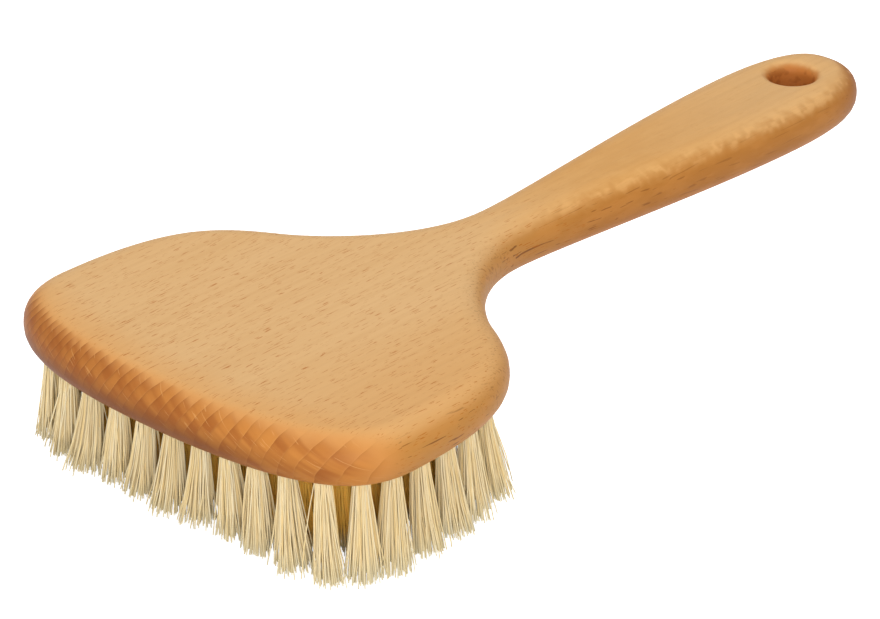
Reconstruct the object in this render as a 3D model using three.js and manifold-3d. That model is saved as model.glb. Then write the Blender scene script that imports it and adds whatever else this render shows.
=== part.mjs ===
// Bath and massage brush: a body cut from one piece of beech, with a broad head, a narrow neck and
// a flat handle with a hanging hole, and tufts of pale plant fibre in the underside of the head.
//
// Millimetres. X runs from the front of the head to the end of the handle, Y across the head, Z up.
// X = 0 is half way along the brush and Z = 0 is the plane of the trimmed fibre tips, on which
// the brush stands. The outline below is drawn from the front of the head, which is at x = 0 there.

import * as THREE from "three";
import { mergeVertices } from "three/addons/utils/BufferGeometryUtils.js";
import Module from "manifold-3d";

const wasm = await Module();
wasm.setup();

// Wooden body
const LENGTH = 250;
const THICKNESS = 13.9;
const EDGE_WIDTH = 7;
const EDGE_HEIGHT = 6.5;
const HEAD_HALF_WIDTH = 59.7;
const NECK_HALF_WIDTH = 8.9;
const GRIP_HALF_WIDTH = 16;
const OUTLINE_STEPS = 72;
const EDGE_STEPS = 4;

// Half of the body's outline, from the middle of the front to the end of the handle: the place of each
// knot, its heading in degrees, and how far its handles reach back and ahead
const BODY_KNOTS = [
  { x: 0, y: 0, heading: 90, back: 0, ahead: 43.5 },
  { x: 28.5, y: HEAD_HALF_WIDTH, heading: 0, back: 19.2, ahead: 35.7 },
  { x: 81, y: 34.3, heading: -61, back: 17.1, ahead: 6 },
  { x: 121, y: NECK_HALF_WIDTH, heading: 0, back: 22, ahead: 17 },
  { x: 217.5, y: GRIP_HALF_WIDTH, heading: 0, back: 33, ahead: 22 },
  { x: LENGTH, y: 0, heading: -90, back: 11.6, ahead: 0 },
];

// Hanging hole in the handle
const HOLE_AT = 231.3;
const HOLE_RADIUS = 5.7;
const HOLE_RIM = 3;
const HOLE_SIDES = 28;
const RIM_STEPS = 4;
const CUTTER_OVERHANG = 1;

// Tufts: how far they stand out of the wood, half of the closed ring on which the outer tufts are
// drilled, and the inner rings as shares of it, drawn in towards the middle of the head
const FIBRE_LENGTH = 23.5;
const TUFT_PITCH = 9;
const FIELD_KNOTS = [
  { x: 8.8, y: 0, heading: 90, back: 0, ahead: 38 },
  { x: 32, y: 50.6, heading: 0, back: 26.5, ahead: 37 },
  { x: 74, y: 31.6, heading: -55, back: 16, ahead: 12 },
  { x: 89.5, y: 0, heading: -90, back: 14, ahead: 0 },
];
const FIELD_CENTRE = new THREE.Vector2(46, 0);
const RING_SHARES = [1, 0.77, 0.54, 0.31, 0.06];
const FAN_ALONG = 0.015;
const FAN_ACROSS = 0.1;

// Strands that stand for the fibres of a tuft, and the slice of the head in which they are rooted
const STRANDS_PER_TUFT = 5;
const ROOT_SPREAD = 1.1;
const TIP_SPREAD = 3.2;
const ROOT_RADIUS = 1;
const TIP_RADIUS = 0.9;
const STRAND_SIDES = 3;
const TURN_PER_TUFT = 2.4;
const LENGTH_KINDS = 4;
const LEVEL_KINDS = 2;
const SHORTER_STEP = 0.5;
const NARROWER_STEP = 0.08;
const SLICE_THICKNESS = 2;
const SLICE_MARGIN = 2.3;
const SLICE_STEPS = 72;
const CLEARANCE = 0.3;

const MERGE_DISTANCE = 1e-4;
const UNDERSIDE = FIBRE_LENGTH;
const TOP = FIBRE_LENGTH + THICKNESS;

const beech = new THREE.MeshStandardMaterial({ color: 0xd39b58, roughness: 0.45, metalness: 0 });
const fibre = new THREE.MeshStandardMaterial({ color: 0xdcc48a, roughness: 0.75, metalness: 0 });

// A closed geometry as a solid, and a solid back as a geometry.
function solidOf(geometry) {
  const bare = new THREE.BufferGeometry();
  bare.setAttribute("position", geometry.getAttribute("position"));
  bare.setIndex(geometry.index);
  const merged = mergeVertices(bare, MERGE_DISTANCE);
  const vertProperties = new Float32Array(merged.attributes.position.array);
  const triVerts = new Uint32Array(merged.index.array);
  return new wasm.Manifold(new wasm.Mesh({ numProp: 3, vertProperties, triVerts }));
}

function geometryOf(solid) {
  const mesh = solid.getMesh();
  const geometry = new THREE.BufferGeometry();
  geometry.setAttribute("position", new THREE.BufferAttribute(mesh.vertProperties, 3));
  geometry.setIndex(new THREE.BufferAttribute(mesh.triVerts, 1));
  geometry.computeVertexNormals();
  return geometry;
}

function direction(degrees) {
  const angle = THREE.MathUtils.degToRad(degrees);
  return new THREE.Vector2(Math.cos(angle), Math.sin(angle));
}

// A smooth half outline through its knots.
function halfPath(knots) {
  const path = new THREE.CurvePath();
  for (let i = 0; i + 1 < knots.length; i++) {
    const from = new THREE.Vector2(knots[i].x, knots[i].y);
    const to = new THREE.Vector2(knots[i + 1].x, knots[i + 1].y);
    const first = from.clone().addScaledVector(direction(knots[i].heading), knots[i].ahead);
    const second = to.clone().addScaledVector(direction(knots[i + 1].heading), -knots[i + 1].back);
    path.add(new THREE.CubicBezierCurve(from, first, second, to));
  }
  return path;
}

// A point of a half path at a share of its length, moved outwards along its normal.
function edgePoint(path, share, grow) {
  const point = path.getPointAt(share);
  const tangent = path.getTangentAt(share);
  return new THREE.Vector2(point.x - tangent.y * grow, point.y + tangent.x * grow);
}

// The body as rings of points stacked from the underside to the top, with an edge rounded like a cushion.
function bodySolid() {
  const path = halfPath(BODY_KNOTS);
  const levels = [];
  for (let i = 0; i <= EDGE_STEPS; i++) {
    const angle = (i / EDGE_STEPS) * (Math.PI / 2);
    const inset = EDGE_WIDTH * (1 - Math.sin(angle));
    const drop = EDGE_HEIGHT * (1 - Math.cos(angle));
    levels.unshift({ inset, z: TOP - drop });
    levels.push({ inset, z: UNDERSIDE + drop });
  }
  levels.sort((a, b) => a.z - b.z);
  const around = 2 * OUTLINE_STEPS;
  const positions = [];
  for (const { inset, z } of levels) {
    for (let i = 0; i < around; i++) {
      const near = i <= OUTLINE_STEPS;
      const step = near ? i : around - i;
      const p = edgePoint(path, step / OUTLINE_STEPS, -inset);
      const y = step % OUTLINE_STEPS === 0 ? 0 : near ? -p.y : p.y;
      positions.push(p.x - LENGTH / 2, y, z);
    }
  }
  const index = [];
  for (let r = 0; r + 1 < levels.length; r++) {
    for (let i = 0; i < around; i++) {
      const a = r * around + i;
      const b = r * around + ((i + 1) % around);
      index.push(a, b, b + around, a, b + around, a + around);
    }
  }
  const last = (levels.length - 1) * around;
  for (let i = 0; i < OUTLINE_STEPS; i++) {
    const a = i;
    const b = i + 1;
    const c = around - i - 1;
    const d = (around - i) % around;
    if (i < OUTLINE_STEPS - 1) {
      index.push(a, c, b, last + a, last + b, last + c);
    }
    if (i > 0) {
      index.push(a, d, c, last + a, last + c, last + d);
    }
  }
  const geometry = new THREE.BufferGeometry();
  geometry.setAttribute("position", new THREE.Float32BufferAttribute(positions, 3));
  geometry.setIndex(index);
  return solidOf(geometry);
}

// The hanging hole as a turned solid: a straight bore that flares into a rounded rim at both faces.
function holeCutter() {
  const half = THICKNESS / 2;
  const profile = [];
  for (let i = 0; i <= RIM_STEPS; i++) {
    const angle = (i / RIM_STEPS) * (Math.PI / 2);
    const radius = HOLE_RADIUS + HOLE_RIM * (1 - Math.sin(angle));
    profile.push(new THREE.Vector2(radius, -half + HOLE_RIM * (1 - Math.cos(angle))));
  }
  const upper = profile.map((p) => new THREE.Vector2(p.x, -p.y)).reverse();
  const mouth = HOLE_RADIUS + HOLE_RIM;
  const points = [
    new THREE.Vector2(0, -half - CUTTER_OVERHANG),
    new THREE.Vector2(mouth, -half - CUTTER_OVERHANG),
    ...profile,
    ...upper,
    new THREE.Vector2(mouth, half + CUTTER_OVERHANG),
    new THREE.Vector2(0, half + CUTTER_OVERHANG),
  ];
  const geometry = new THREE.LatheGeometry(points, HOLE_SIDES);
  geometry.rotateX(Math.PI / 2);
  geometry.translate(HOLE_AT - LENGTH / 2, 0, (UNDERSIDE + TOP) / 2);
  return solidOf(geometry);
}

const field = halfPath(FIELD_KNOTS);

// A point on a ring of the tuft field. Turn runs from 0 at the front, once round, to 1.
function fieldPoint(turn, share, grow) {
  const whole = turn - Math.floor(turn);
  const side = whole <= 0.5 ? 1 : -1;
  const half = whole <= 0.5 ? 2 * whole : 2 - 2 * whole;
  const p = edgePoint(field, half, 0);
  const q = edgePoint(field, half, 1);
  const normal = q.clone().sub(p);
  p.sub(FIELD_CENTRE).multiplyScalar(share).add(FIELD_CENTRE).addScaledVector(normal, grow);
  return new THREE.Vector2(p.x - LENGTH / 2, side * p.y);
}

function ringLoop(share, grow) {
  const points = [];
  for (let i = 0; i < SLICE_STEPS; i++) {
    points.push(fieldPoint(-i / SLICE_STEPS, share, grow));
  }
  return points;
}

// A flat plate between two rings of the field, or a full one where there is no inner ring.
function plate(outer, inner, bottom, thickness) {
  const shape = new THREE.Shape(outer);
  if (inner) {
    shape.holes.push(new THREE.Path(inner));
  }
  const geometry = new THREE.ExtrudeGeometry(shape, { depth: thickness, bevelEnabled: false });
  geometry.translate(0, 0, bottom);
  return solidOf(geometry);
}

// One three-sided strand from its root in the slice to its tip, both cut level.
function strand(root, rootZ, tip, tipZ, turn) {
  const positions = [];
  for (const [centre, radius, z] of [[tip, TIP_RADIUS, tipZ], [root, ROOT_RADIUS, rootZ]]) {
    for (let i = 0; i < STRAND_SIDES; i++) {
      const angle = turn + (i / STRAND_SIDES) * 2 * Math.PI;
      positions.push(centre.x + radius * Math.cos(angle), centre.y + radius * Math.sin(angle), z);
    }
  }
  const index = [0, 2, 1, 3, 4, 5];
  for (let i = 0; i < STRAND_SIDES; i++) {
    const j = (i + 1) % STRAND_SIDES;
    index.push(i, j, j + STRAND_SIDES, i, j + STRAND_SIDES, i + STRAND_SIDES);
  }
  const geometry = new THREE.BufferGeometry();
  geometry.setAttribute("position", new THREE.Float32BufferAttribute(positions, 3));
  geometry.setIndex(index);
  return solidOf(geometry);
}

// The strands of one ring of tufts. The tufts fan out a little along the head and more across it, each
// spreads towards its tip, and a fixed pattern leaves some strands shorter, as cut fibres are.
function ringStrands(ring) {
  const share = RING_SHARES[ring];
  const around = 2 * field.getLength() * share;
  const tufts = Math.max(2, Math.round(around / TUFT_PITCH));
  const strands = [];
  for (let t = 0; t < tufts; t++) {
    const point = fieldPoint((t + (ring % 2) / 2) / tufts, share, 0);
    const along = FAN_ALONG * (point.x + LENGTH / 2 - FIELD_CENTRE.x);
    const across = FAN_ACROSS * point.y;
    const tipCentre = new THREE.Vector2(point.x + along, point.y + across);
    for (let s = 0; s < STRANDS_PER_TUFT; s++) {
      const angle = (s / STRANDS_PER_TUFT) * 2 * Math.PI + TURN_PER_TUFT * t + ring;
      const away = new THREE.Vector2(Math.cos(angle), Math.sin(angle));
      const kind = (7 * t + 3 * s + 5 * ring) % LENGTH_KINDS;
      const spread = TIP_SPREAD * (1 - NARROWER_STEP * kind);
      const root = point.clone().addScaledVector(away, ROOT_SPREAD);
      const tip = tipCentre.clone().addScaledVector(away, spread);
      const tipZ = kind < LEVEL_KINDS ? 0 : SHORTER_STEP * kind;
      strands.push(strand(root, UNDERSIDE + SLICE_THICKNESS / 2, tip, tipZ, angle + Math.PI));
    }
  }
  return { tufts, strands };
}

// The slices meet half way between neighbouring rings of tufts, with a small clearance.
const middle = (ring) => (RING_SHARES[ring] + RING_SHARES[ring + 1]) / 2;
const slices = [
  { name: "tufts_outer_ring", rings: [0], inner: middle(0) },
  { name: "tufts_second_ring", rings: [1], outer: middle(0), inner: middle(1) },
  { name: "tufts_third_ring", rings: [2], outer: middle(1), inner: middle(2) },
  { name: "tufts_centre", rings: [3, 4], outer: middle(2) },
];

const recess = plate(
  ringLoop(1, SLICE_MARGIN + CLEARANCE),
  null,
  UNDERSIDE - CUTTER_OVERHANG,
  SLICE_THICKNESS + CLEARANCE + CUTTER_OVERHANG,
);

const brush = new THREE.Group();
brush.name = "bath_brush";

const body = new THREE.Mesh(geometryOf(bodySolid().subtract(holeCutter()).subtract(recess)), beech);
body.name = "wooden_body";
brush.add(body);

let tuftCount = 0;
for (const { name, rings, outer, inner } of slices) {
  const outside = outer ? ringLoop(outer, -CLEARANCE / 2) : ringLoop(1, SLICE_MARGIN);
  const inside = inner ? ringLoop(inner, CLEARANCE / 2) : null;
  let solid = plate(outside, inside, UNDERSIDE, SLICE_THICKNESS);
  for (const ring of rings) {
    const { tufts, strands } = ringStrands(ring);
    tuftCount += tufts;
    solid = wasm.Manifold.union([solid, ...strands]);
  }
  const mesh = new THREE.Mesh(geometryOf(solid), fibre);
  mesh.name = name;
  brush.add(mesh);
}
console.log(`${tuftCount} tufts, ${tuftCount * STRANDS_PER_TUFT} strands`);

export default brush;
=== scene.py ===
# %% [markdown]
# # A bath brush in beech and plant fibre
#
# The brush is one board of beech, cut to a broad head and a slim handle, with rings of fibre tufts in
# the underside of the head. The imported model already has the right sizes, in metres, with X along the
# handle, Y across the head and Z up from the fibre tips. It is loaded first and stays as it is. The
# pieces made here take the place of its plain solids, so they are built to the same sizes.

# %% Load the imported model
import math
import random

import bpy
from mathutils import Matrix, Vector
from mathutils.geometry import interpolate_bezier


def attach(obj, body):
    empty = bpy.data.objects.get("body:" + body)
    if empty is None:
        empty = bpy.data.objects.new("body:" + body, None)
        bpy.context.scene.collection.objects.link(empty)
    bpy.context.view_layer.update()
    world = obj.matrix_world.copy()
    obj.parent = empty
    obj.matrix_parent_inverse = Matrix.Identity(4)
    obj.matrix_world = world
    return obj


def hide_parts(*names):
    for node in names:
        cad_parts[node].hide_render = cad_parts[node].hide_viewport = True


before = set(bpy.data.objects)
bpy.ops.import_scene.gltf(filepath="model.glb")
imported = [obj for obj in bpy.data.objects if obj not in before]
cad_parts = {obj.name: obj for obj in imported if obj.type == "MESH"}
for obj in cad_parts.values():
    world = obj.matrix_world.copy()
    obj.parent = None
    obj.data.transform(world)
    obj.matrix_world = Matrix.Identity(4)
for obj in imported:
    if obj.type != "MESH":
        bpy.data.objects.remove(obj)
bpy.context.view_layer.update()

# %% [markdown]
# ## Sizes
#
# The drawing is in millimetres, because that is how a maker would measure the brush, and one constant
# turns it into Blender's metres. The outline is drawn from the front of the head, so half the length is
# taken off X to bring it into the model's frame.

# %% Main sizes
MM = 0.001
LENGTH = 250
THICKNESS = 13.9
EDGE_WIDTH = 7
EDGE_HEIGHT = 6.5
FIBRE_LENGTH = 23.5
UNDERSIDE = FIBRE_LENGTH
TOP = FIBRE_LENGTH + THICKNESS


def place(x, y, z):
    """A point of the drawing, in the model's frame."""
    return Vector(((x - LENGTH / 2) * MM, y * MM, z * MM))


def deselect():
    if bpy.context.object and bpy.context.object.mode != "OBJECT":
        bpy.ops.object.mode_set(mode="OBJECT")
    bpy.ops.object.select_all(action="DESELECT")


print("brush", LENGTH, "mm long, wood", THICKNESS, "mm thick, fibre", FIBRE_LENGTH, "mm")

# %% [markdown]
# ## Camera
#
# The brush is seen from the front left, a little from above, by a long lens far away: opposite edges of
# the handle stay nearly parallel. A camera looks along its own -Z, so the turn comes from the direction
# in which it should look, with Y kept up.

# %% Camera
eye = place(-766.2, -802.1, 627.1)
aim = place(108.9, 9.1, 12.5)
deselect()
bpy.ops.object.camera_add(location=eye, rotation=(aim - eye).to_track_quat("-Z", "Y").to_euler())
camera = bpy.context.object
camera.name = "camera"
camera.data.sensor_width = 36
camera.data.lens = 225
camera.data.clip_end = 20
bpy.context.scene.camera = camera
print("camera", round((aim - eye).length, 3), "m away, lens", camera.data.lens, "mm")

# %% [markdown]
# ## The outline of the wood
#
# The board is sawn to a symmetric outline: a nearly straight front, full corners, shoulders that draw in
# to a narrow neck, and a grip that widens to a round end. Six knots with handles describe one half: each
# has a place, the direction of travel in degrees, and how far its two handles reach. A Bezier curve is
# the natural tool, because few knots give long clean curves with no flats.

# %% Outline knots
HALF_OUTLINE = [
    (0, 0, 90, 43.5, 43.5),
    (28.5, 59.7, 0, 19.2, 35.7),
    (81, 34.3, -61, 17.1, 6),
    (121, 8.9, 0, 22, 17),
    (217.5, 16, 0, 33, 22),
    (250, 0, -90, 11.6, 11.6),
]


def heading(degrees):
    return Vector((math.cos(math.radians(degrees)), math.sin(math.radians(degrees)), 0))


def closed_knots(half):
    """The half outline and its mirror image as one loop of point, handle before and handle after."""
    loop = []
    for x, y, degrees, reach_in, reach_out in half:
        loop.append((x, y, degrees, reach_in, reach_out))
    for x, y, degrees, reach_in, reach_out in reversed(half[1:-1]):
        loop.append((x, -y, 180 - degrees, reach_out, reach_in))
    knots = []
    for x, y, degrees, reach_in, reach_out in loop:
        point = place(x, y, 0)
        way = heading(degrees) * MM
        knots.append((point, point - way * reach_in, point + way * reach_out))
    return knots


outline_knots = closed_knots(HALF_OUTLINE)
print("outline of", len(outline_knots), "knots")

# %% [markdown]
# ## The board
#
# A flat closed curve can be filled, given thickness by its extrude value and a round edge by its bevel.
# A negative offset draws the flat faces in by the width of the edge, so the rounded edge ends exactly on
# the outline. The real edge is sanded a little wider than high, like a cushion, so the board is made too
# thick with a circular edge and then flattened to its thickness. Turned into a mesh, its loose caps are
# welded on and their triangles dissolved into one flat face each. A thin inset inside each flat face keeps
# the shading of the round edge from spreading on it.

# %% Curve of the board
deselect()
bpy.ops.curve.primitive_bezier_circle_add(radius=0.1, location=(0, 0, 0))
board = bpy.context.object
board.name = "beech_body"
curve = board.data
curve.dimensions = "2D"
curve.fill_mode = "BOTH"
curve.resolution_u = 24
flatten = EDGE_HEIGHT / EDGE_WIDTH
curve.extrude = (THICKNESS / 2 / flatten - EDGE_WIDTH) * MM
curve.bevel_depth = EDGE_WIDTH * MM
curve.bevel_resolution = 6
curve.offset = -EDGE_WIDTH * MM
points = curve.splines[0].bezier_points
points.add(len(outline_knots) - len(points))
for bezier_point, (point, before, after) in zip(points, outline_knots):
    bezier_point.handle_left_type = "FREE"
    bezier_point.handle_right_type = "FREE"
    bezier_point.co = point
    bezier_point.handle_left = before
    bezier_point.handle_right = after
print("board curve with", len(points), "knots")

# %% Board as a mesh
WELD = 0.01
bpy.ops.object.convert(target="MESH")
board = bpy.context.object
bpy.ops.object.mode_set(mode="EDIT")
bpy.ops.mesh.select_all(action="SELECT")
bpy.ops.transform.resize(value=(1, 1, flatten), center_override=(0, 0, 0))
bpy.ops.transform.translate(value=(0, 0, (UNDERSIDE + TOP) / 2 * MM))
bpy.ops.mesh.remove_doubles(threshold=WELD * MM)
bpy.ops.mesh.normals_make_consistent(inside=False)
bpy.ops.object.mode_set(mode="OBJECT")
print("board", len(board.data.polygons), "faces,", [round(v / MM, 2) for v in board.dimensions])


# %% Flat faces in one piece
def select_faces(piece, wanted):
    """Edit mode with only the wanted faces selected."""
    if bpy.context.object.mode != "EDIT":
        bpy.ops.object.mode_set(mode="EDIT")
    bpy.ops.mesh.select_mode(type="FACE")
    bpy.ops.mesh.select_all(action="DESELECT")
    bpy.ops.object.mode_set(mode="OBJECT")
    count = 0
    for face in piece.data.polygons:
        face.select = wanted(face)
        count += face.select
    bpy.ops.object.mode_set(mode="EDIT")
    return count


FLAT = 0.9999
SHADING_INSET = 0.5
for upward in (1, -1):
    before = select_faces(board, lambda face: face.normal.z * upward > FLAT)
    bpy.ops.mesh.dissolve_faces()
    after = select_faces(board, lambda face: face.normal.z * upward > FLAT)
    bpy.ops.mesh.inset(thickness=SHADING_INSET * MM)
    print("flat side", upward, "from", before, "faces to", after)
bpy.ops.object.mode_set(mode="OBJECT")

# %% [markdown]
# ## The hanging hole
#
# The hole near the end of the handle is bored straight through and its rims are rounded over. The cutter
# is modelled as the air in the hole: a circle at mid height, drawn out to each face ring by ring, and
# opened along a quarter circle where the rim rolls over. A Boolean modifier takes it out of the board.

# %% Profile of the hole
HOLE_AT = 231.3
HOLE_RADIUS = 5.7
HOLE_RIM = 3
RIM_STEPS = 6
HOLE_AIR_PAST = 1


def hole_radius(height):
    """Radius of the hole at a height above the middle of the board."""
    into_rim = abs(height) - (THICKNESS / 2 - HOLE_RIM)
    if into_rim <= 0:
        return HOLE_RADIUS
    rise = min(into_rim / HOLE_RIM, 1)
    return HOLE_RADIUS + HOLE_RIM * (1 - math.sqrt(1 - rise * rise))


half = THICKNESS / 2
turns = [math.radians(90 * i / RIM_STEPS) for i in range(RIM_STEPS + 1)]
steps = [half - HOLE_RIM + HOLE_RIM * math.sin(turn) for turn in turns]
upper_half = steps + [half + HOLE_AIR_PAST]
heights = [-height for height in reversed(upper_half)] + upper_half
print("hole", 2 * HOLE_RADIUS, "mm wide, in", len(heights), "rings")


# %% Air of the hole
def grow_ring(radius_from, radius_to, lift, centre):
    """Extrudes the selected ring by lift and scales it to a new radius."""
    bpy.ops.mesh.extrude_region_move(TRANSFORM_OT_translate={"value": (0, 0, lift)})
    share = radius_to / radius_from
    bpy.ops.transform.resize(value=(share, share, 1), center_override=centre)


centre = place(HOLE_AT, 0, (UNDERSIDE + TOP) / 2)
deselect()
bpy.ops.mesh.primitive_circle_add(
    vertices=64,
    radius=hole_radius(heights[0]) * MM,
    fill_type="NGON",
    location=centre + Vector((0, 0, heights[0] * MM)),
)
hole_air = bpy.context.object
bpy.ops.object.mode_set(mode="EDIT")
for low, high in zip(heights, heights[1:]):
    grow_ring(hole_radius(low), hole_radius(high), (high - low) * MM, centre)
bpy.ops.mesh.select_all(action="SELECT")
bpy.ops.mesh.normals_make_consistent(inside=False)
bpy.ops.object.mode_set(mode="OBJECT")
print("air of the hole", len(hole_air.data.polygons), "faces")


# %% Bore the hole
def cut(piece, air):
    """Takes the shape of air out of a piece, and removes air."""
    deselect()
    piece.select_set(True)
    bpy.context.view_layer.objects.active = piece
    modifier = piece.modifiers.new("cut", "BOOLEAN")
    modifier.operation = "DIFFERENCE"
    modifier.solver = "EXACT"
    modifier.object = air
    bpy.ops.object.modifier_apply(modifier=modifier.name)
    bpy.data.objects.remove(air, do_unlink=True)
    print(piece.name, "now", len(piece.data.polygons), "faces")


cut(board, hole_air)

# %% [markdown]
# ## Where the tufts go
#
# The tufts are set in concentric rings. The outer ring keeps 6 to 9 mm inside the outline, so the drill
# clears most of the rounded edge, and the inner rings are the same shape drawn in towards the middle of
# the head. Tufts stand 9 mm apart along each ring, and every second ring is shifted by half a step, so
# each tuft shows in a gap of the ring before it.

# %% Shape of the tufted field
FIELD_CENTRE = Vector((46, 0, 0))
CURVE_POINTS = 120
HALF_FIELD = [
    (8.8, 0, 90, 38, 38),
    (32, 50.6, 0, 26.5, 37),
    (74, 31.6, -55, 16, 12),
    (89.5, 0, -90, 14, 14),
]


def field_loop(half):
    """The outer ring as many close points, from the front round to the front again."""
    one_side = []
    for (x, y, degrees, _, reach), (u, v, turn, pull, _) in zip(half, half[1:]):
        start = Vector((x, y, 0))
        end = Vector((u, v, 0))
        first = start + heading(degrees) * reach
        second = end - heading(turn) * pull
        one_side += interpolate_bezier(start, first, second, end, CURVE_POINTS)[:-1]
    one_side.append(Vector((half[-1][0], 0, 0)))
    other_side = [Vector((p.x, -p.y, 0)) for p in reversed(one_side[:-1])]
    return one_side + other_side


outer_loop = field_loop(HALF_FIELD)
outer_length = sum((b - a).length for a, b in zip(outer_loop, outer_loop[1:]))
print("outer ring", round(outer_length), "mm long")

# %% Places of the tufts
TUFT_PITCH = 9
RINGS = {
    "tufts_outer_ring": [1],
    "tufts_second_ring": [0.77],
    "tufts_third_ring": [0.54],
    "tufts_centre": [0.31, 0.06],
}


def even_points(loop, count, shift):
    """Count points at equal steps along a closed loop."""
    travelled = [0]
    for a, b in zip(loop, loop[1:]):
        travelled.append(travelled[-1] + (b - a).length)
    found = []
    at = 0
    for i in range(count):
        goal = (i + shift) / count * travelled[-1]
        while travelled[at + 1] < goal:
            at += 1
        share = (goal - travelled[at]) / (travelled[at + 1] - travelled[at])
        found.append(loop[at].lerp(loop[at + 1], share))
    return found


tufts = {}
ring_number = 0
for node, shares in RINGS.items():
    tufts[node] = []
    for share in shares:
        loop = [FIELD_CENTRE + (p - FIELD_CENTRE) * share for p in outer_loop]
        count = max(2, round(outer_length * share / TUFT_PITCH))
        tufts[node] += even_points(loop, count, (ring_number % 2) / 2)
        ring_number += 1
    print(node, len(tufts[node]), "tufts")

# %% [markdown]
# ## Drilled holes
#
# Each tuft sits in a blind hole. Only the mouths can be seen between the fibres, so the holes here are
# shallow. One drill is modelled as a round bar with a bevelled point, copied to every place with its own
# mesh, and the joined copies are cut out of the board in one go.

# %% One drill
DRILL_RADIUS = 2.3
DRILL_DEPTH = 5
DRILL_PAST = 2
DRILL_POINT = 0.8
deselect()
bpy.ops.mesh.primitive_cylinder_add(
    vertices=16,
    radius=DRILL_RADIUS * MM,
    depth=(DRILL_DEPTH + DRILL_PAST) * MM,
    location=(0, 0, (UNDERSIDE + (DRILL_DEPTH - DRILL_PAST) / 2) * MM),
)
drill = bpy.context.object
bpy.ops.object.transform_apply(location=True, rotation=True, scale=True)
select_faces(drill, lambda face: face.normal.z > FLAT)
bpy.ops.mesh.bevel(offset=DRILL_POINT * MM, segments=1)
bpy.ops.object.mode_set(mode="OBJECT")
print("drill", 2 * DRILL_RADIUS, "mm wide,", len(drill.data.polygons), "faces")

# %% Drill the tuft holes
drills = []
for spot in (spot for spots in tufts.values() for spot in spots):
    copy = drill.copy()
    copy.data = drill.data.copy()
    copy.location = place(spot.x, spot.y, 0)
    bpy.context.collection.objects.link(copy)
    drills.append(copy)
bpy.data.objects.remove(drill, do_unlink=True)
deselect()
for copy in drills:
    copy.select_set(True)
bpy.context.view_layer.objects.active = drills[0]
bpy.ops.object.join()
bpy.ops.object.transform_apply(location=True, rotation=True, scale=True)
cut(board, bpy.context.object)

# %% Smooth the edges of the board
deselect()
board.select_set(True)
bpy.context.view_layer.objects.active = board
bpy.ops.object.shade_smooth_by_angle(angle=math.radians(35))
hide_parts("wooden_body")
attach(board, "root")
print("board", len(board.data.vertices), "vertices")

# %% [markdown]
# ## Fibre
#
# A tuft is a bundle of stiff plant fibres about 0.4 mm thick, packed in its hole and spreading towards the
# tips. A hair system could make them, but here every fibre should be a real mesh. So each is one spline of
# a curve object: the curve's bevel gives all of them their thickness at once, and the radius of each point
# thins them towards the tip. The tufts fan out a little along the head and more across it, and at the two
# sides they lie over, as in a brush that has been used. They are trimmed a little shorter away from the
# near corner. Fibres differ in length, bow and thickness, and a few stray ones cross to the next tuft. A
# fixed seed gives the same brush on each run.

# %% Habit of a tuft
SPREAD = 2.0
FAN_ALONG = 0.04
FAN_ACROSS = 0.1
FAN_MOST = 1.8
LAY = 3
LAY_AT = 50
LEAN_UNEVEN = 0.5
TRIM_FROM = Vector((24, -50, 0))
TRIM_SLOPE = 0.06
TRIM_MOST = 2.0
TRIM_UNEVEN = 0.25
chance = random.Random(11)


def sideways(unevenness):
    """A small chance step in X and Y."""
    return Vector((chance.gauss(0, unevenness), chance.gauss(0, unevenness), 0))


def tuft_habit(spot):
    """What all fibres of one tuft share."""
    along = FAN_ALONG * (spot.x - FIELD_CENTRE.x) + LAY * (spot.y / LAY_AT) ** 3
    fan = Vector((along, min(FAN_MOST, FAN_ACROSS * spot.y), 0))
    trim = min(TRIM_MOST, TRIM_SLOPE * (spot - TRIM_FROM).length)
    return {
        "spread": SPREAD * chance.uniform(0.9, 1.15),
        "lean": fan + sideways(LEAN_UNEVEN),
        "short": trim + abs(chance.gauss(0, TRIM_UNEVEN)),
    }


print("tips spread to", SPREAD, "times the width of their roots")

# %% Path of a fibre
FIBRES_PER_TUFT = 155
FIBRE_RADIUS = 0.2
PACKED_RADIUS = 2.05
ROOT_DEPTH = 3
TIP_CLEAR = 0.15
TIP_UNEVEN = 0.85
TIP_WOBBLE = 0.7
BOW = 0.35
STRAY_SHARE = 0.04
STRAY_WOBBLE = 2.4


def fibre_path(spot, tuft):
    """Points and thickness of one fibre, from inside its hole to its tip."""
    angle = chance.uniform(0, 2 * math.pi)
    away = PACKED_RADIUS * math.sqrt(chance.random())
    from_middle = Vector((away * math.cos(angle), away * math.sin(angle), 0))
    stray = chance.random() < STRAY_SHARE
    root = spot + from_middle + Vector((0, 0, UNDERSIDE))
    tip = spot + tuft["lean"] + from_middle * tuft["spread"]
    tip.z = TIP_CLEAR + abs(chance.gauss(0, TIP_UNEVEN)) + tuft["short"]
    tip += sideways(STRAY_WOBBLE if stray else TIP_WOBBLE)
    bow = sideways(BOW)
    path = [root + Vector((0, 0, ROOT_DEPTH))]
    for t in (0, 0.3, 0.65, 1):
        out = t if stray else 0.6 * t + 0.4 * t * t
        point = root.lerp(tip, out)
        point.z = root.z + (tip.z - root.z) * t
        path.append(point + bow * math.sin(math.pi * t))
    return path, chance.uniform(0.8, 1.2)


print("fibre", 2 * FIBRE_RADIUS, "mm thick,", FIBRES_PER_TUFT, "to a tuft")


# %% Tufts of a ring
TUFT_TONE = 0.06
FIBRE_TONE = 0.26
THINNING = 0.05
FIBRE_WELD = 0.002


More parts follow.
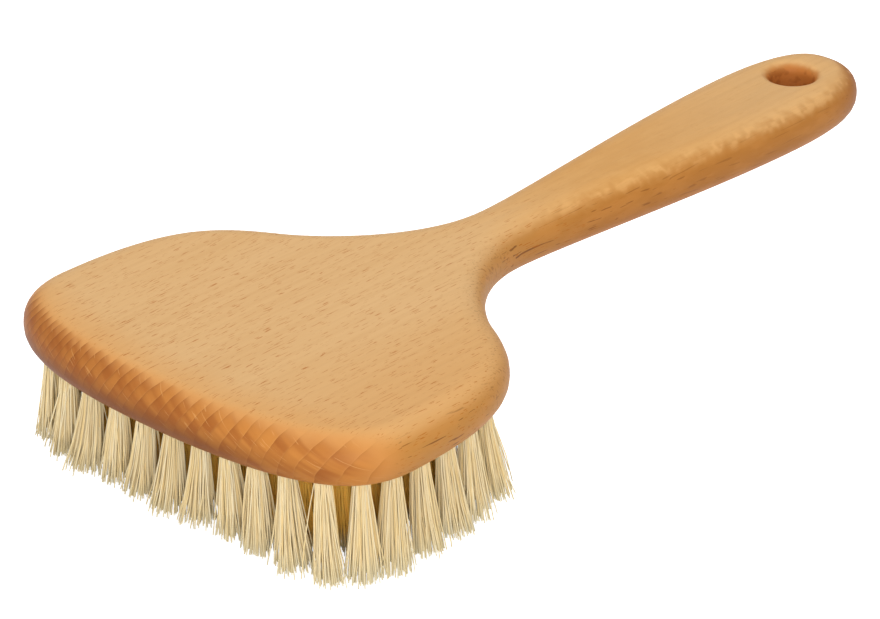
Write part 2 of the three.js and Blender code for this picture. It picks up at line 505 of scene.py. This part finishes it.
def bristle_ring(node, spots):
    """All fibres of a ring of tufts as one mesh, with a tone for each fibre."""
    deselect()
    bpy.ops.curve.primitive_bezier_curve_add(location=(0, 0, 0))
    piece = bpy.context.object
    piece.name = node.replace("tufts", "fibres")
    curve = piece.data
    curve.splines.clear()
    curve.dimensions = "3D"
    curve.bevel_depth = FIBRE_RADIUS * MM
    curve.bevel_resolution = 0
    curve.use_fill_caps = True
    tones = []
    for spot in spots:
        tuft = tuft_habit(spot)
        tuft_tone = chance.gauss(0.5, TUFT_TONE)
        for _ in range(FIBRES_PER_TUFT):
            path, thickness = fibre_path(spot, tuft)
            spline = curve.splines.new("POLY")
            spline.points.add(len(path) - 1)
            for i, (curve_point, point) in enumerate(zip(spline.points, path)):
                curve_point.co = (*place(*point), 1)
                curve_point.radius = thickness * (1 + THINNING - THINNING * i)
            tones.append(min(1, max(0, chance.gauss(tuft_tone, FIBRE_TONE))))
    bpy.ops.object.convert(target="MESH")
    piece = bpy.context.object
    mesh = piece.data
    tone = mesh.attributes.new("tone", "FLOAT", "POINT")
    each = len(mesh.vertices) // len(tones)
    tone.data.foreach_set("value", [tones[i // each] for i in range(len(mesh.vertices))])
    bpy.ops.object.mode_set(mode="EDIT")
    bpy.ops.mesh.select_all(action="SELECT")
    bpy.ops.mesh.remove_doubles(threshold=FIBRE_WELD * MM)
    bpy.ops.mesh.normals_make_consistent(inside=False)
    bpy.ops.object.mode_set(mode="OBJECT")
    bpy.ops.object.shade_smooth()
    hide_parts(node)
    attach(piece, "root")
    print(piece.name, len(tones), "fibres,", each, "points each,", len(mesh.polygons), "faces")
    return piece


fibre_pieces = [bristle_ring(node, spots) for node, spots in tufts.items()]

# %% [markdown]
# ## Writing a material
#
# A material is a small program of nodes. To keep it readable, one class wraps a socket: arithmetic on it
# adds Math nodes, and its method node adds a node of any other kind, first with its settings and then
# with the values or links of its inputs.


# %% Sockets with arithmetic
class Wire:
    """An output socket that can be used in expressions."""

    def __init__(self, tree, socket=None):
        self.tree = tree
        self.socket = socket

    def node(self, kind, settings=None, inputs=None, output=0):
        made = self.tree.nodes.new(kind)
        for name, value in (settings or {}).items():
            setattr(made, name, value)
        for key, value in (inputs or {}).items():
            if isinstance(value, Wire):
                self.tree.links.new(value.socket, made.inputs[key])
            else:
                made.inputs[key].default_value = value
        return Wire(self.tree, made.outputs[output])

    def math(self, operation, *others):
        inputs = {i: value for i, value in enumerate((self, *others))}
        return self.node("ShaderNodeMath", {"operation": operation}, inputs)

    def __add__(self, other):
        return self.math("ADD", other)

    def __radd__(self, other):
        return self.math("ADD", other)

    def __sub__(self, other):
        return self.math("SUBTRACT", other)

    def __rsub__(self, other):
        return self.node("ShaderNodeMath", {"operation": "SUBTRACT"}, {0: other, 1: self})

    def __mul__(self, other):
        return self.math("MULTIPLY", other)

    def __rmul__(self, other):
        return self.math("MULTIPLY", other)

    def __pow__(self, other):
        return self.math("POWER", other)

    def between(self, low, high):
        """0 below low, 1 above high, and a soft step from one to the other."""
        return self.node(
            "ShaderNodeMapRange",
            {"interpolation_type": "SMOOTHSTEP"},
            {"Value": self, "From Min": low, "From Max": high},
        )

    def colours(self, low, high):
        """A mix of two colours by this value. The colour sockets of a Mix node are its 6 and 7."""
        return self.node(
            "ShaderNodeMix", {"data_type": "RGBA"}, {0: self, 6: low, 7: high}, output=2
        )


print("Math nodes by arithmetic, other nodes by the method node")


# %% Colours and new materials
def srgb(red, green, blue):
    """A colour read off a screen, as the linear values that Blender works in."""
    linear = []
    for value in (red / 255, green / 255, blue / 255):
        linear.append(value / 12.92 if value <= 0.04045 else ((value + 0.055) / 1.055) ** 2.4)
    return (*linear, 1)


def new_material(name):
    material = bpy.data.materials.new(name)
    material.use_nodes = True
    shader = material.node_tree.nodes["Principled BSDF"]
    return material, Wire(material.node_tree), shader


def plug(wire, shader, name):
    wire.tree.links.new(wire.socket, shader.inputs[name])


print("white is", srgb(255, 255, 255))

# %% [markdown]
# ## Beech
#
# Beech is pale tan with short dark flecks along the grain, which runs along the handle. A picture of wood
# could be wrapped round the brush, but it would smear over the rounded edge. So the pattern is worked out
# in space from Object coordinates, as in a real block of wood: the rings on the edge run on into streaks
# on the flat face. Noise gives what is irregular, and stretching it along the handle gives the grain its
# direction. A helper counts the waves of each noise to a millimetre, so the numbers can be read as sizes.


# %% Patterns in space
def in_millimetres(wire):
    """Object coordinates, counted in millimetres from the middle of the brush."""
    metres = wire.node("ShaderNodeTexCoord", output="Object")
    return wire.node("ShaderNodeVectorMath", {"operation": "SCALE"}, {0: metres, "Scale": 1 / MM})


def split(vector):
    """The X, Y and Z of a vector."""
    separated = vector.node("ShaderNodeSeparateXYZ", {}, {0: vector}).socket.node
    return [Wire(vector.tree, socket) for socket in separated.outputs]


def noise_at(x, y, z, detail=2.0):
    """Noise at a place that is given by three values."""
    spot = x.node("ShaderNodeCombineXYZ", {}, {"X": x, "Y": y, "Z": z})
    return x.node("ShaderNodeTexNoise", {}, {"Vector": spot, "Scale": 1.0, "Detail": detail})


def stretched_noise(position, per_mm, detail=2.0):
    """Noise with its own frequency, in waves to a millimetre, along each axis."""
    spot = position.node("ShaderNodeVectorMath", {"operation": "MULTIPLY"}, {0: position, 1: per_mm})
    return position.node("ShaderNodeTexNoise", {}, {"Vector": spot, "Scale": 1.0, "Detail": detail})


beech, wood, beech_shader = new_material("beech")
position = in_millimetres(wood)
x, y, z = split(position)
facing_x, _, facing_z = split(wood.node("ShaderNodeNewGeometry", output="Normal"))
print("beech starts from the place and the direction of the surface,", len(wood.tree.nodes), "nodes")

# %% [markdown]
# ### Where the wood shows what
#
# The same board looks different on its face, its edge, its handle and where it is cut across the grain. So
# masks come first: values from 0 to 1 that say how far a place belongs to a part. The position says where
# along the brush it is, and the normal says which way it faces. The grip was shaped by hand, and a slow
# noise on the normal makes the line between its face and its side a little ragged, as a file leaves it.

# %% Masks by place
grip = x.between(-25, 30)
head = 1 - x.between(-60, -30)
front = 1 - x.between(-118, -75)
near_side = (y * -1).between(10, 55)
# The far half of the head, where shade is painted on the end grain.
far_half_shade = y.between(-40, 40)
past_corner = y.between(-60, -10)
front_bow = y * y * 0.0032
front_band = 1 - (x + LENGTH / 2 - front_bow).between(4, 18)
from_hole = ((x - (HOLE_AT - LENGTH / 2)) ** 2 + y * y) ** 0.5
bore = 1 - from_hole.between(HOLE_RADIUS + 1, HOLE_RADIUS + HOLE_RIM)
print("masks by place made,", len(wood.tree.nodes), "nodes so far")

# %% Masks by direction
file_marks_and_glints = stretched_noise(position, (0.35, 0.35, 0.35), 1.0)
edge = 1 - (facing_z + (file_marks_and_glints - 0.5) * grip * 0.35).between(0.3, 0.98)
rim = 1 - facing_z.between(0.93, 0.995)
# The crest between the face and the side of the grip, where glints are painted.
shoulder = facing_z.between(0.5, 0.75) * (1 - facing_z.between(0.86, 0.97))
# Faces turned down, where shade is painted.
shade_underneath = (facing_z * -1).between(-0.4, 0.4)
facing_front = (facing_x * -1).between(0.02, 0.45) * head
cut_across = (facing_x * -1).between(0.05, 0.35)
cut_behind = facing_x.between(0.1, 0.4) * (1 - grip) * rim
handle_end = facing_x.between(0, 0.6) * rim * x.between(70, 115)
neck = x.between(-50, -25) * (1 - x.between(0, 30)) * edge
print("masks by direction made,", len(wood.tree.nodes), "nodes so far")

# %% [markdown]
# ### Growth rings
#
# The board was sawn at a slant to the growth rings, which are 2 to 4 mm apart and closer at the far side.
# Counting years across the rings gives a number that rises by one from ring to ring, and its fraction
# says where in the ring a place is: late wood is dark, and early wood begins with a thin pale line. The
# front edge cuts the rings across. There the wood drinks more finish, each ring as much as it likes, so
# the end grain begins with ragged steps. A few thin pale rays cross the rings.

# %% Rings and rays
RING_SLANT = math.radians(28)
RINGS_PER_MM = 0.33
RINGS_CLOSER = 0.0014
sway = stretched_noise(position, (0.008, 0.03, 0.03)) - 0.5
shiver = stretched_noise(position, (0.05, 0.25, 0.25)) - 0.5
across_rings = y * math.cos(RING_SLANT) + z * math.sin(RING_SLANT) + sway * 5 + shiver * 0.9
along_rings = z * math.cos(RING_SLANT) - y * math.sin(RING_SLANT)
years = across_rings * RINGS_PER_MM + across_rings * across_rings * RINGS_CLOSER
ring = years.math("FRACT")
late_wood = ring ** 16 * 0.6 + ring ** 3 * 0.4
early_line = (1 - ring) ** 18
ring_mood = noise_at(years.math("FLOOR") * 7.3, along_rings * 0.3, x * 0.05)
rays = noise_at(x * 0.05, across_rings * 0.17, along_rings * 3.2, 0.0).between(0.72, 0.77)
ragged = (ring_mood - 0.5) * 0.7 + ring * 0.14
# On the far half the end grain reaches further round, as part of the painted shade there.
end_grain = (ragged - facing_x + far_half_shade * 0.12).between(0.36, 0.86) * rim * head
print("rings about", round(1 / RINGS_PER_MM), "mm apart,", len(wood.tree.nodes), "nodes so far")

# %% [markdown]
# ### Tints of the wood
#
# The colour is laid on like glazes: each coat has a tint, and a mask times a number says how strong it is.
# The flat face comes first, partly in the wood's own tones and partly in painted sheen: pale on the middle
# of the head and the end of the handle, warmer on the near side, behind the front edge and on the grip. The
# rounded edge is browner, partly its own colour and partly painted shade where it turns from the light,
# most along the grip. It is mottled, deepest at the end of the handle, has painted glints along the crest
# of the grip, and the hole shows the dark wood inside it. Faces turned down, and the end grain on the far
# half of the front, get painted shade.


# %% Face and rounded edge
def glaze(colour, coats):
    """A colour with coats of tint laid over it, each as strong as its value says."""
    for strength, tint in coats:
        colour = strength.colours(colour, tint)
    return colour


cloud = stretched_noise(position, (0.012, 0.05, 0.05))
streaks = stretched_noise(position, (0.02, 0.9, 0.9)).between(0.35, 0.75)
mottle = stretched_noise(position, (0.1, 0.3, 0.3)).between(0.4, 0.65)
# The face is partly the wood's own tone and partly painted sheen: pale on the middle of the head and the
# end of the handle, warmer on the near side, behind the front edge and on the grip.
face = glaze(cloud.colours(srgb(219, 173, 115), srgb(226, 184, 130)), [
    (streaks * 0.25, srgb(206, 156, 98)),
    (near_side * 0.5, srgb(214, 155, 86)),
    (front_band * 0.7, srgb(221, 162, 94)),
    (grip * (0.75 - 0.55 * x.between(35, 100)), srgb(212, 154, 82)),
    (mottle * grip * 0.25, srgb(226, 176, 112)),
])
side = glaze(face, [
    # The brown of the rounded edge is partly the wood's own and partly painted shade where it turns from
    # the light, most along the grip.
    (edge * 0.9, srgb(186, 120, 52)),
    (edge * (1 - facing_front) * 0.35, srgb(190, 142, 68)),
    (edge * grip * 0.6, srgb(172, 106, 40)),
    (mottle * edge * 0.3, srgb(206, 140, 70)),
    (bore * edge * 0.7, srgb(206, 126, 60)),
    (file_marks_and_glints.between(0.5, 0.6) * bore * edge * 0.4, srgb(150, 84, 34)),
    (handle_end * (1 - bore) * 0.95, srgb(158, 90, 8)),
    # Painted glints: pale patches along the crest of the grip.
    (file_marks_and_glints.between(0.5, 0.64) * shoulder * grip * 0.27, srgb(232, 178, 112)),
    (facing_front * 0.7, srgb(211, 144, 76)),
])
print("face and edge tinted,", len(wood.tree.nodes), "nodes so far")

# %% End grain
end = glaze(ring_mood.between(0.35, 0.65).colours(srgb(166, 96, 40), srgb(200, 130, 60)), [
    # Painted shade: the end grain is darker on the far half of the front, which is turned from the front
    # light.
    (far_half_shade * 0.5, srgb(150, 80, 28)),
])
colour = glaze(side, [
    (end_grain * 0.95, end),
    # The ring lines are darker on the far half too, as painted shade.
    (late_wood * (0.05 + end_grain * (0.2 + 0.4 * far_half_shade)), srgb(112, 58, 22)),
    (early_line * end_grain * 0.14, srgb(230, 172, 104)),
    (rays * end_grain * 0.35, srgb(232, 176, 108)),
    # Painted shade: faces turned down are darker, most past the near corner of the head.
    (shade_underneath * (0.14 + grip * 0.06 + past_corner * head * 0.74), srgb(112, 57, 2)),
])
print("end grain tinted,", len(wood.tree.nodes), "nodes so far")

# %% [markdown]
# ### Flecks and polish
#
# Beech is known by its flecks. On the face they are fine dashes along the grain, on the sides longer and
# darker ones, and behind the head, where the neck cuts the grain, they stand upright. Noise that is
# drawn out along one axis and cut off high gives such dashes. The finish is a soft satin: pores make the
# roughness uneven and, through a weak bump, break the sheen.

# %% Flecks
side_flecks = stretched_noise(position, (0.05, 1.7, 1.7), 1.0).between(0.645, 0.685)
fine_flecks = stretched_noise(position, (0.26, 3.4, 3.4), 1.0).between(0.64, 0.69)
upright_flecks = stretched_noise(position, (1.2, 2.6, 0.5), 1.0).between(0.6, 0.68)
side_share = edge * (1 - cut_across - cut_behind * 0.7) * (0.75 - 0.5 * x.between(0, 70))
fine_share = (1 - cut_across - cut_behind) * (0.6 + front * 0.08 + neck * 0.25 - grip * 0.5)
colour = glaze(colour, [
    (side_flecks * side_share, srgb(104, 54, 14)),
    (fine_flecks * fine_share, srgb(172, 90, 8)),
    (upright_flecks * cut_behind * 0.5, srgb(140, 82, 28)),
])
plug(colour, beech_shader, "Base Color")
print("flecks drawn,", len(wood.tree.nodes), "nodes so far")

# %% Satin finish
pores = stretched_noise(position, (0.5, 5.0, 5.0))
plug(0.42 + pores * 0.16 + fine_flecks * 0.1, beech_shader, "Roughness")
height = pores * 0.4 - fine_flecks * 0.3 - late_wood * 0.15
bump = wood.node("ShaderNodeBump", {}, {"Height": height, "Strength": 0.12, "Distance": 0.3 * MM})
plug(bump, beech_shader, "Normal")
beech_shader.inputs["Specular IOR Level"].default_value = 0.14
board.data.materials.clear()
board.data.materials.append(beech)
print("beech", len(wood.tree.nodes), "nodes")

# %% [markdown]
# ## Undyed fibre
#
# The fibres are pale straw, some whiter and some more golden. Each carries a tone, stored on the mesh as an
# attribute, because one material can then colour thousands of fibres differently. Deep among the tufts,
# light that has passed from fibre to fibre is golden brown. A real fibre is a little translucent and these
# are not, so their colour stands in for it: golden towards the roots, strongly in the inner rings and only
# a little in the outer ring, which stands in open light. The tips are the same pale straw in all rings.


# %% Fibre material
def undyed_fibre(name, gold):
    """Straw-coloured fibre, golden towards its root."""
    material, wire, shader = new_material(name)
    tone = wire.node("ShaderNodeAttribute", {"attribute_name": "tone"}, output="Fac")
    place_in_tuft = in_millimetres(wire)
    height = split(place_in_tuft)[2]
    streak = stretched_noise(place_in_tuft, (1.2, 1.2, 0.12), 1.0)
    straw = (tone * 0.8 + streak * 0.2).colours(srgb(236, 213, 156), srgb(242, 236, 209))
    towards_root = height.between(1, 8)
    plug((towards_root * gold).colours(straw, srgb(248, 194, 84)), shader, "Base Color")
    plug(0.5 + streak * 0.2, shader, "Roughness")
    shader.inputs["Specular IOR Level"].default_value = 0.2
    return material


outer_fibre = undyed_fibre("undyed_fibre_outer", 0.15)
inner_fibre = undyed_fibre("undyed_fibre_inner", 1.0)
for piece in fibre_pieces:
    piece.data.materials.clear()
    piece.data.materials.append(outer_fibre if piece.name == "fibres_outer_ring" else inner_fibre)
    print(piece.name, "in", piece.data.materials[0].name)

# %% [markdown]
# ## Floor and light
#
# The brush stands on a plain white floor that runs out of sight, under a broad soft light from above, a
# softer one beside the camera for the front edge, and a white sky to fill the shadows. A floor lit this
# softly would look grey, so it glows a little, but only for rays from the camera and for reflections: it
# looks white and keeps the shadow, and its glow throws no extra light on the brush.

# %% Floor
deselect()
bpy.ops.mesh.primitive_plane_add(size=8, location=(0, 0, 0))
floor = bpy.context.object
floor.name = "floor"
bpy.ops.object.mode_set(mode="EDIT")
bpy.ops.mesh.subdivide(number_cuts=3)
bpy.ops.object.mode_set(mode="OBJECT")
floor_material, wire, shader = new_material("floor_white")
seen = wire.node("ShaderNodeLightPath", output="Is Camera Ray")
mirrored = wire.node("ShaderNodeLightPath", output="Is Glossy Ray")
shader.inputs["Base Color"].default_value = (0.82, 0.82, 0.82, 1)
shader.inputs["Roughness"].default_value = 0.9
shader.inputs["Specular IOR Level"].default_value = 0.0
shader.inputs["Emission Strength"].default_value = 1.0
plug((seen + mirrored).math("MINIMUM", 1.0) * 0.88, shader, "Emission Color")
floor.data.materials.append(floor_material)

# %% Light
world = bpy.data.worlds.new("white_sky")
bpy.context.scene.world = world
world.use_nodes = True
sky = Wire(world.node_tree)
background = world.node_tree.nodes["Background"]
background.inputs["Color"].default_value = (1, 1, 1, 1)
shown = sky.node("ShaderNodeLightPath", output="Is Camera Ray")
plug(0.5 + shown * 0.5, background, "Strength")


def soft_light(name, where, towards, size, power):
    deselect()
    turn = (towards - where).to_track_quat("-Z", "Y").to_euler()
    bpy.ops.object.light_add(type="AREA", location=where, rotation=turn)
    light = bpy.context.object
    light.name = name
    light.data.shape = "SQUARE"
    light.data.size = size
    light.data.energy = power
    print(name, power, "W")


soft_light("overhead", Vector((-0.1, 0.1, 1.6)), Vector((0, 0, 0)), 1.6, 12.5)
soft_light("front", Vector((-1.16, -1.1, 0.52)), Vector((-0.06, 0, 0)), 0.8, 13.6)
view = bpy.context.scene.view_settings
view.view_transform = "Standard"
